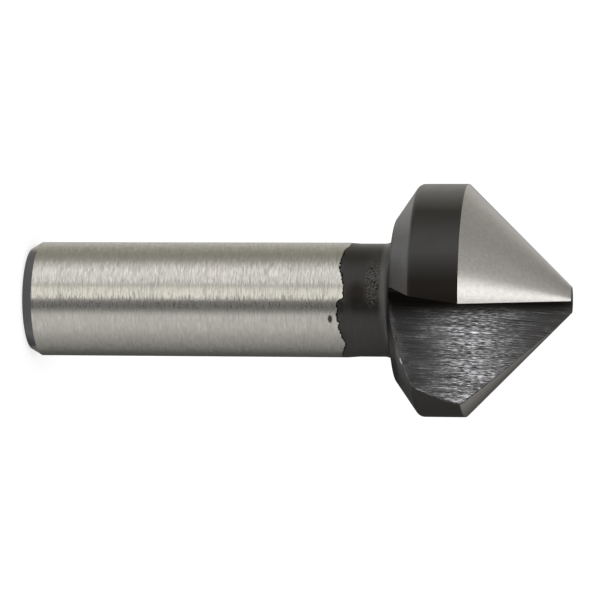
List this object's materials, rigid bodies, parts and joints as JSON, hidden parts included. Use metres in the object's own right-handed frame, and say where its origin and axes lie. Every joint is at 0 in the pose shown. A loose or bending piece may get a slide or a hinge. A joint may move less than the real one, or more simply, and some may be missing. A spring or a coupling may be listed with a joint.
{
  "type": "countersink bit",
  "caption": "Single-flute 90 degree countersink bit with a plain round shank, necked black head and bright relieved cone; chamfers and deburrs the mouth of a drilled hole.",
  "frame": {"origin": "centre of the flat end face of the shank, on the tool's axis", "axes": "+Z runs along the tool's axis from the shank to the point; the cutting edge lies on the -Y side and the relieved land behind it runs round by -X; +X makes the frame right-handed, on the flute's heel side"},
  "size_m": [0.0256, 0.0256, 0.0604],
  "materials": {
    "tool_steel": "black oxide on neck, head and flute; bright ground shank and cone"
  },
  "bodies": {
    "root": {"countersink_bit": "tool_steel"}
  },
  "joints": []
}
